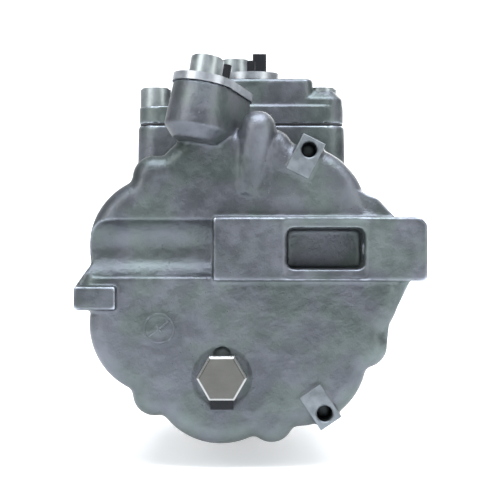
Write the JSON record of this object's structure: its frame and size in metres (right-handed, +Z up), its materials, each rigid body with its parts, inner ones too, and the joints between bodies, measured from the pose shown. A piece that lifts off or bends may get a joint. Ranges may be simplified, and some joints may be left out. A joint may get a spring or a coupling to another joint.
{
  "type": "automotive air conditioning compressor",
  "caption": "Belt-driven car air conditioning compressor with a scalloped cast body, cross-bolted rear mounting block, hexagonal relief valve, top cover and clutch pulley.",
  "frame": {"origin": "where the shaft axis meets the middle plane of the drive belt", "axes": "+Y along the shaft towards the pulley's front, +Z up with the object as it is fitted, +X to the right as seen from the rear, where the mounting block points"},
  "size_m": [0.1498, 0.2243, 0.1925],
  "materials": {
    "cast_aluminium": "as cast, satin",
    "machined_aluminium": "machined",
    "zinc_steel": "zinc plated, satin",
    "valve_steel": "plated, brushed",
    "dark_steel": "phosphated",
    "bright_steel": "ground",
    "spring_steel": "oiled",
    "iron": "turned",
    "painted_pulley": "black, satin",
    "coil_resin": "moulded",
    "black_plastic": "moulded",
    "black_rubber": "moulded",
    "gasket": "rubber coated sheet"
  },
  "bodies": {
    "housing": {"clutch_coil": "coil_resin", "clutch_snap_rings": "spring_steel", "control_valve_body": "zinc_steel", "control_valve_connector": "black_plastic", "cover_screws": "zinc_steel", "cylinder_block": "cast_aluminium", "discharge_reeds": "spring_steel", "front_housing": "cast_aluminium", "front_joint_gasket": "gasket", "front_radial_bearing": "bright_steel", "front_thrust_bearing": "bright_steel", "head_gasket": "gasket", "piston_1": "machined_aluminium", "port_blanking_plates": "machined_aluminium", "port_plugs": "black_rubber", "port_screws": "zinc_steel", "pulley_bearing_inner": "bright_steel", "rear_housing": "cast_aluminium", "rear_radial_bearing": "bright_steel", "reed_screw": "dark_steel", "reed_stop": "spring_steel", "relief_valve_body": "valve_steel", "relief_valve_spring": "spring_steel", "relief_vent_shield": "black_plastic", "seal_snap_ring": "spring_steel", "shaft_seal": "black_rubber", "suction_reeds": "spring_steel", "through_bolts": "dark_steel", "top_cover": "cast_aluminium", "top_cover_gasket": "gasket", "valve_plate": "bright_steel"},
    "shaft": {"drive_shaft": "bright_steel", "lug_plate": "iron", "destroke_spring": "spring_steel", "armature_hub": "zinc_steel", "hub_rivets": "zinc_steel", "hub_bolt": "dark_steel"},
    "armature": {"armature_plate": "iron", "armature_rivets": "zinc_steel", "armature_leaf_springs": "spring_steel"},
    "pulley": {"pulley": "painted_pulley", "pulley_bearing_outer": "bright_steel"},
    "swash_carrier": {"shoe_pair_1": "bright_steel"},
    "swash": {"swash_plate": "iron", "hinge_pin": "bright_steel"},
    "relief_poppet": {"relief_valve_poppet": "bright_steel"},
    "control_plunger": {"control_valve_plunger": "bright_steel"},
    "suction_check": {"suction_check_valve": "black_plastic"},
    "piston_2_body": {"piston_2": "machined_aluminium"},
    "shoes_2_body": {"shoe_pair_2": "bright_steel"},
    "piston_3_body": {"piston_3": "machined_aluminium"},
    "shoes_3_body": {"shoe_pair_3": "bright_steel"},
    "piston_4_body": {"piston_4": "machined_aluminium"},
    "shoes_4_body": {"shoe_pair_4": "bright_steel"},
    "piston_5_body": {"piston_5": "machined_aluminium"},
    "shoes_5_body": {"shoe_pair_5": "bright_steel"},
    "piston_6_body": {"piston_6": "machined_aluminium"},
    "shoes_6_body": {"shoe_pair_6": "bright_steel"},
    "piston_7_body": {"piston_7": "machined_aluminium"},
    "shoes_7_body": {"shoe_pair_7": "bright_steel"}
  },
  "joints": [
    {"name": "shaft_spin", "type": "hinge", "parent": "housing", "child": "shaft", "pos_m": [0, 0, 0], "axis": [0, 1, 0], "continuous": true},
    {"name": "pulley_spin", "type": "hinge", "parent": "housing", "child": "pulley", "pos_m": [0, 0, 0], "axis": [0, 1, 0], "continuous": true},
    {"name": "clutch_engage", "type": "slide", "parent": "shaft", "child": "armature", "axis": [0, -1, 0], "range_m": [0, 0.0005], "stiffness_N_per_m": 8000, "springref_m": -0.001, "deforming": ["armature_leaf_springs"]},
    {"name": "swash_tilt", "type": "hinge", "parent": "housing", "child": "swash_carrier", "pos_m": [0.0385, -0.0895, 0], "axis": [0, 0, -1], "range_deg": [0, 17], "stiffness_Nm_per_rad": 6, "springref_deg": -5.73, "deforming": ["destroke_spring"]},
    {"name": "swash_spin", "type": "hinge", "parent": "swash_carrier", "child": "swash", "pos_m": [0, -0.0895, 0], "axis": [0, 1, 0], "continuous": true},
    {"name": "relief_lift", "type": "slide", "parent": "housing", "child": "relief_poppet", "axis": [0, -1, 0], "range_m": [0, 0.0012], "stiffness_N_per_m": 6000, "springref_m": -0.004, "deforming": ["relief_valve_spring"]},
    {"name": "control_plunger_slide", "type": "slide", "parent": "housing", "child": "control_plunger", "axis": [0, 1, 0], "range_m": [0, 0.0008], "stiffness_N_per_m": 1500, "springref_m": -0.001},
    {"name": "suction_check_slide", "type": "slide", "parent": "housing", "child": "suction_check", "axis": [0, 0, -1], "range_m": [0, 0.0045], "stiffness_N_per_m": 60, "springref_m": -0.004},
    {"name": "piston_2_slide", "type": "slide", "parent": "housing", "child": "piston_2_body", "axis": [0, 1, 0], "range_m": [0, 0.0044]},
    {"name": "shoes_2_tilt", "type": "hinge", "parent": "piston_2_body", "child": "shoes_2_body", "pos_m": [0.024, -0.0895, 0.0301], "axis": [0, 0, -1], "range_deg": [0, 17]},
    {"name": "piston_3_slide", "type": "slide", "parent": "housing", "child": "piston_3_body", "axis": [0, 1, 0], "range_m": [0, 0.01428]},
    {"name": "shoes_3_tilt", "type": "hinge", "parent": "piston_3_body", "child": "shoes_3_body", "pos_m": [-0.00857, -0.0895, 0.03753], "axis": [0, 0, -1], "range_deg": [0, 17]},
    {"name": "piston_4_slide", "type": "slide", "parent": "housing", "child": "piston_4_body", "axis": [0, 1, 0], "range_m": [0, 0.02221]},
    {"name": "shoes_4_tilt", "type": "hinge", "parent": "piston_4_body", "child": "shoes_4_body", "pos_m": [-0.03469, -0.0895, 0.0167], "axis": [0, 0, -1], "range_deg": [0, 17]},
    {"name": "piston_5_slide", "type": "slide", "parent": "housing", "child": "piston_5_body", "axis": [0, 1, 0], "range_m": [0, 0.02221]},
    {"name": "shoes_5_tilt", "type": "hinge", "parent": "piston_5_body", "child": "shoes_5_body", "pos_m": [-0.03469, -0.0895, -0.0167], "axis": [0, 0, -1], "range_deg": [0, 17]},
    {"name": "piston_6_slide", "type": "slide", "parent": "housing", "child": "piston_6_body", "axis": [0, 1, 0], "range_m": [0, 0.01428]},
    {"name": "shoes_6_tilt", "type": "hinge", "parent": "piston_6_body", "child": "shoes_6_body", "pos_m": [-0.00857, -0.0895, -0.03753], "axis": [0, 0, -1], "range_deg": [0, 17]},
    {"name": "piston_7_slide", "type": "slide", "parent": "housing", "child": "piston_7_body", "axis": [0, 1, 0], "range_m": [0, 0.0044]},
    {"name": "shoes_7_tilt", "type": "hinge", "parent": "piston_7_body", "child": "shoes_7_body", "pos_m": [0.024, -0.0895, -0.0301], "axis": [0, 0, -1], "range_deg": [0, 17]}
  ],
  "couplings": [
    {"joint": "swash_spin", "follows": "shaft_spin", "ratio": 1},
    {"joint": "piston_2_slide", "follows": "swash_tilt", "m_per_rad": 0.014825},
    {"joint": "shoes_2_tilt", "follows": "swash_tilt", "ratio": 1},
    {"joint": "piston_3_slide", "follows": "swash_tilt", "m_per_rad": 0.048138},
    {"joint": "shoes_3_tilt", "follows": "swash_tilt", "ratio": 1},
    {"joint": "piston_4_slide", "follows": "swash_tilt", "m_per_rad": 0.074852},
    {"joint": "shoes_4_tilt", "follows": "swash_tilt", "ratio": 1},
    {"joint": "piston_5_slide", "follows": "swash_tilt", "m_per_rad": 0.074852},
    {"joint": "shoes_5_tilt", "follows": "swash_tilt", "ratio": 1},
    {"joint": "piston_6_slide", "follows": "swash_tilt", "m_per_rad": 0.048138},
    {"joint": "shoes_6_tilt", "follows": "swash_tilt", "ratio": 1},
    {"joint": "piston_7_slide", "follows": "swash_tilt", "m_per_rad": 0.014825},
    {"joint": "shoes_7_tilt", "follows": "swash_tilt", "ratio": 1}
  ]
}
